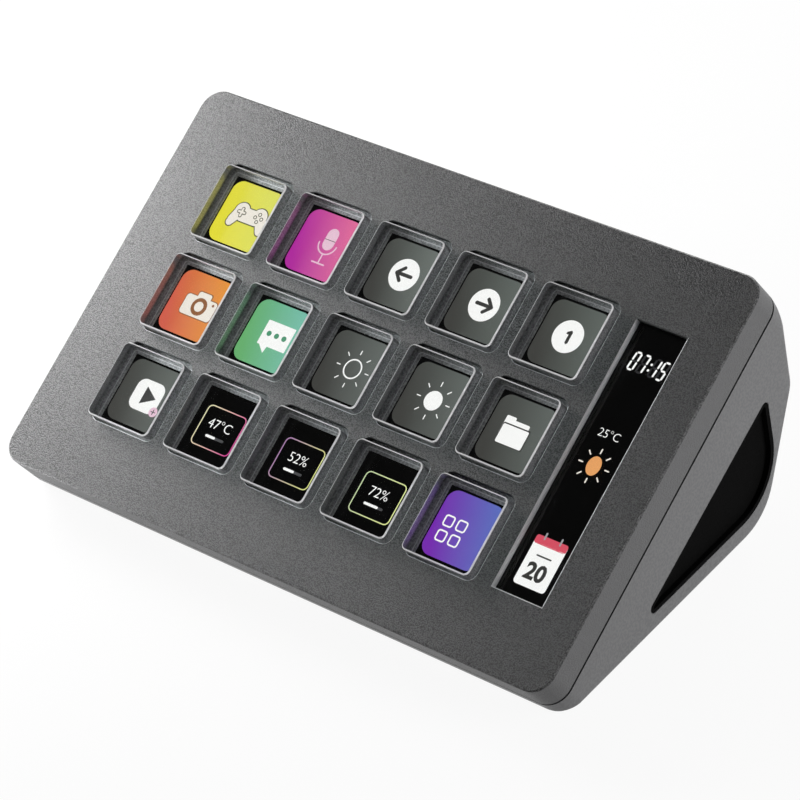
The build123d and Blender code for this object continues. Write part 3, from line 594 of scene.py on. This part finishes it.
def draw_play():
    x, y, arm = 3.85, -2.35, 0.5               # the small plus
    return [plate(WHITE, 1, 7.0, 6.4, 1.8, 0.6, 0.05),
            disc(INK, 2, 2.15, 0.75, 0.05, corners=3, turn=-pi / 2), disc(PINK, 2, 1.0, x, y),
            bar(INK, 3, 0.16, x - arm, y, x + arm, y), bar(INK, 3, 0.16, x, y - arm, x, y + arm)]


def draw_squares():
    x, y, step = -2.1, -0.9, 1.5
    square = plate(WHITE, 1, 2.3, 2.3, 0.6, x - step, y - step, hole=0.3)
    return [square] + [copied(square, x + i * step, y + j * step) for i, j in ((-1, 1), (1, -1), (1, 1))]


def draw_gauge(name, colour, far_colour, text, share):
    """Reading in a glowing frame, over a small level bar; its ground is black."""
    x, y = key_middle(name)
    start = RIGHT * (x - 5 * MM) + UP * (y - 1 * MM)
    run = (RIGHT * 10 - UP * 2) * MM           # the glow changes from the frame's left to its lower right
    frame_light = lit("lit_" + name, colour, far_colour, start, run)
    left, low, full = -2.0, -2.35, 4.0         # the level bar
    return [plate(frame_light, 0, 9.85, 8.4, 1.1, -0.05, -0.6, hole=0.2),
            figures(WHITE, 0, text, 2.05, -0.2, 0.15, bold=-0.03),
            bar(SHADE, 0, 0.5, left, low, left + full, low),
            bar(WHITE, 1, 0.5, left, low, left + full * share, low)]


TILES = {
    "key_r1_c1": ("#efe63c", "#dfe35c", draw_gamepad),
    "key_r1_c2": ("#b62ba2", "#ec6f9c", draw_microphone),
    "key_r1_c3": ("#41413e", "#6f7671", draw_left),
    "key_r1_c4": ("#41413e", "#646b66", draw_right),
    "key_r1_c5": ("#41413e", "#646b66", draw_one),
    "key_r2_c1": ("#da6450", "#ee9a1c", draw_camera),
    "key_r2_c2": ("#6cb673", "#78c3b2", draw_bubble),
    "key_r2_c3": ("#41413e", "#666c68", draw_ring_sun),
    "key_r2_c4": ("#41413e", "#646a66", draw_full_sun),
    "key_r2_c5": ("#41413e", "#646a66", draw_folder),
    "key_r3_c1": ("#464643", "#616762", draw_play),
    "key_r3_c5": ("#7a2bb4", "#5b74c4", draw_squares),
}
GAUGES = {
    "key_r3_c2": ("#f2ecc0", "#e0389c", "47°C", 0.47),
    "key_r3_c3": ("#b58ab8", "#e2e88a", "52%", 0.52),
    "key_r3_c4": ("#cfe0b0", "#eaf2a0", "72%", 0.72),
}
for key, (colour, far_colour, draw) in TILES.items():
    lay(key.replace("key", "tile"), [ground(key, colour, far_colour)] + draw(), on_glass(*key_middle(key)))
for key, reading in GAUGES.items():
    lay(key.replace("key", "tile"), draw_gauge(key, *reading), on_glass(*key_middle(key)))


# ---- Mat beads ----
# A fine pale ring laid on the mat round each of its windows, a painted highlight where the window's edge
# catches the light. Seen through the key it is a pale line.
BEAD_MM, BEAD_GAP_MM, BEAD_R = 0.2, 0.55, 0.8
BEAD_OUT = BEAD_GAP_MM + BEAD_MM               # from the window's edge to the bead's outer edge
BEAD_SINK_MM = 0.12                            # how deep the bead stands in the mat
WINDOW_W, WINDOW_H, WINDOW_RISE = 13.5, 14.3, -0.2    # the mat's window, and its place above the key's middle

painted_highlight_bead = grained("painted_highlight_bead", "#e4e4e6", "#f4f4f6", grain_mm=0.4, relief_mm=0.0, Roughness=0.4)
bead = plate(painted_highlight_bead, 0, WINDOW_W + 2 * BEAD_OUT, WINDOW_H + 2 * BEAD_OUT, BEAD_R, hole=BEAD_MM)
beads = [bead] + [copied(bead, 0, 0) for key in KEYS[1:]]
for shape, key in zip(beads, KEYS):
    x, y = key_middle(key)
    shape.location = (x / MM, y / MM + WINDOW_RISE, 0)
on_mat = on_glass(0, 0)
on_mat.translation = OUT * (reach("key_mat", OUT)[1] - BEAD_SINK_MM * MM)
lay("mat_painted_highlight_beads", beads, on_mat)


# ---- Strip display ----
# A slim readout beside the keys: a segment clock, the weather as a sun with its temperature, and a
# calendar leaf. Unlit clock segments show faintly. It is drawn from the middle of the window's width, at
# the middle of the cover's height.
GHOST = lit("lit_ghost", "#2c2c2e")
RED = lit("lit_red", "#e4566a")
ORANGE = lit("lit_orange", "#f7ae6c")
GREY = lit("lit_grey", "#a8a8ac")
SEGMENT_W, SEGMENT_GAP, DIGIT_W, DIGIT_H, SLANT = 0.38, 0.256, 1.15, 3.5, 0.12
SEGMENTS = {"a": (0, 2, 1, 2), "b": (1, 1, 1, 2), "c": (1, 0, 1, 1), "d": (0, 0, 1, 0), "e": (0, 0, 0, 1),
            "f": (0, 1, 0, 2), "g": (0, 1, 1, 1)}
LIT_IN = {"0": "abcdef", "7": "abc", "1": "bc", "5": "acdfg"}
CLOCK_LOW, COLON_X = 18.9, -0.35
SUN_X, SUN_Y, SUN_STRETCH = -0.7, 0.1, (0.84, 1.08, 1)
LEAF_X, LEAF_W = -0.65, 7.15


def segment_digit(digit, x, y):
    """Seven-segment digit that leans to the right, with its unlit segments faint."""
    shapes = []
    for name, (x0, y0, x1, y1) in SEGMENTS.items():
        material, level = (WHITE, 1) if name in LIT_IN[digit] else (GHOST, 0)
        start, end = [Vector((x + i * DIGIT_W + SLANT * j * DIGIT_H / 2, y + j * DIGIT_H / 2))
                      for i, j in ((x0, y0), (x1, y1))]
        gap = (end - start).normalized() * SEGMENT_GAP
        shapes.append(bar(material, level, SEGMENT_W, *(start + gap), *(end - gap), steps=1))
    return shapes


in_strip = on_glass(sum(reach("strip_lens", RIGHT)) / 2, sum(reach("front_cover", UP)) / 2)
clock = []
for digit, x in zip("0715", (-4.5, -2.5, 0.05, 1.95)):
    clock += segment_digit(digit, x, CLOCK_LOW)
clock += [disc(WHITE, 1, 0.24, COLON_X + SLANT * high, CLOCK_LOW + high, corners=12) for high in (1.0, 2.2)]
lay("strip_clock", clock, in_strip)

sun = disc(ORANGE, 0, 1.75, SUN_X, SUN_Y)
sun.scale = SUN_STRETCH
weather = [figures(WHITE, 0, "25°C", 1.7, -0.9, 6.3, bold=-0.035), sun]
lay("strip_weather", weather + rays(PALE, 0, 2.55, 3.35, 0.26, SUN_X, SUN_Y), in_strip)

calendar = [plate(WHITE, 0, LEAF_W, 9.7, 0.7, LEAF_X, -19.85),
            plate(RED, 1, LEAF_W, 1.7, 0.5, LEAF_X, -15.85),
            plate(WHITE, 1, LEAF_W, 0.5, 0, LEAF_X, -16.75),
            figures(INK, 1, "20", 3.2, -0.75, -21.8, bold=0.16)]
ring = bar(GREY, 2, 0.35, -2.4, -14.4, -2.4, -15.5)
calendar += [ring, copied(ring, 1.1, ring.location.y), bar(INK, 1, 0.3, -2.2, -18.6, 0.9, -18.6)]
lay("strip_calendar", calendar, in_strip)


# ---- Camera ----
# A long lens from the right, in front and above, held with a small roll. It sees the whole keypad nearly
# without perspective.
CAMERA_PLACE = Vector((0.42616, -0.37140, 0.46216))
CAMERA_AIM = Vector((-0.59075, 0.52181, -0.61541))
CAMERA_ROLL = radians(-12.95)
LENS_MM, SENSOR_MM = 173.3, 36.0

camera_data = bpy.data.cameras.new("camera")
camera_data.lens = LENS_MM
camera_data.sensor_width = SENSOR_MM
camera = bpy.data.objects.new("camera", camera_data)
bpy.context.scene.collection.objects.link(camera)
camera.rotation_mode = "QUATERNION"
camera.rotation_quaternion = CAMERA_AIM.to_track_quat("-Z", "Y") @ Quaternion((0, 0, 1), CAMERA_ROLL)
camera.location = CAMERA_PLACE
bpy.context.scene.camera = camera


# ---- Studio ----
# Pale floor and a dim surround, both of which the camera sees as white, and five softboxes. The two on
# the left graze the face, so that it darkens to the right; the one at the right lights the side.
FLOOR_M = 8.0
FLOOR_WHITE = 0.93                             # share of plain white in the floor; the rest takes shadows
SURROUND = 0.03                                # how bright the surround is to the object

bpy.ops.mesh.primitive_plane_add(size=FLOOR_M, location=(0, 0, 0))
floor = bpy.context.object
floor.name = "floor"
floor_white, shader = new_material("floor_white", Base_Color=srgb("#f2f2f2"), Roughness=0.9)
white = add_node(floor_white, "Emission", {"Color": srgb("#ffffff"), "Strength": 1.0})
path = add_node(floor_white, "LightPath").outputs
seen = path["Is Camera Ray"]
for ray in ("Is Glossy Ray", "Is Transmission Ray"):
    seen = add_node(floor_white, "Math", {0: seen, 1: path[ray]}, operation="MAXIMUM").outputs[0]
share = add_node(floor_white, "Math", {0: seen, 1: FLOOR_WHITE}, operation="MULTIPLY")
mix = add_node(floor_white, "MixShader", {0: share.outputs[0], 1: shader.outputs["BSDF"],
                                          2: white.outputs["Emission"]})
link(floor_white, mix.outputs["Shader"], floor_white.node_tree.nodes["Material Output"].inputs["Surface"])
floor.data.materials.append(floor_white)

world = bpy.data.worlds.new("studio")
bpy.context.scene.world = world
world.use_nodes = True
background = world.node_tree.nodes["Background"]
path = add_node(world, "LightPath").outputs
glow = add_node(world, "MapRange", {"Value": path["Is Camera Ray"], "To Min": SURROUND, "To Max": 1.0})
link(world, glow.outputs["Result"], background.inputs["Strength"])
background.inputs["Color"].default_value = srgb("#ffffff")


def softbox(name, place, aim, width, height, power):
    """Lamp with a rectangular face that looks at a point."""
    data = bpy.data.lights.new(name, "AREA")
    data.shape = "RECTANGLE"
    data.size = width
    data.size_y = height
    data.energy = power
    lamp = bpy.data.objects.new(name, data)
    bpy.context.scene.collection.objects.link(lamp)
    lamp.location = place
    lamp.rotation_mode = "QUATERNION"
    lamp.rotation_quaternion = (Vector(aim) - Vector(place)).to_track_quat("-Z", "Y")


softbox("softbox_near_left", (-0.17, 0, 0.07), (-0.03, 0, 0.03), 0.10, 0.06, 0.34)
softbox("softbox_far_left", (-0.24, 0.05, 0.13), (-0.03, 0, 0.03), 0.12, 0.12, 0.60)
softbox("softbox_front", (-0.13, -0.09, 0.008), (-0.03, -0.04, 0.012), 0.05, 0.014, 0.18)
softbox("softbox_right", (0.50, 0.20, 0.10), (0.06, 0, 0.02), 0.30, 0.16, 2.6)
softbox("softbox_back", (-0.15, 0.60, 0.16), (0, 0, 0.03), 0.30, 0.20, 2.5)
bpy.context.scene.view_settings.view_transform = "Standard"
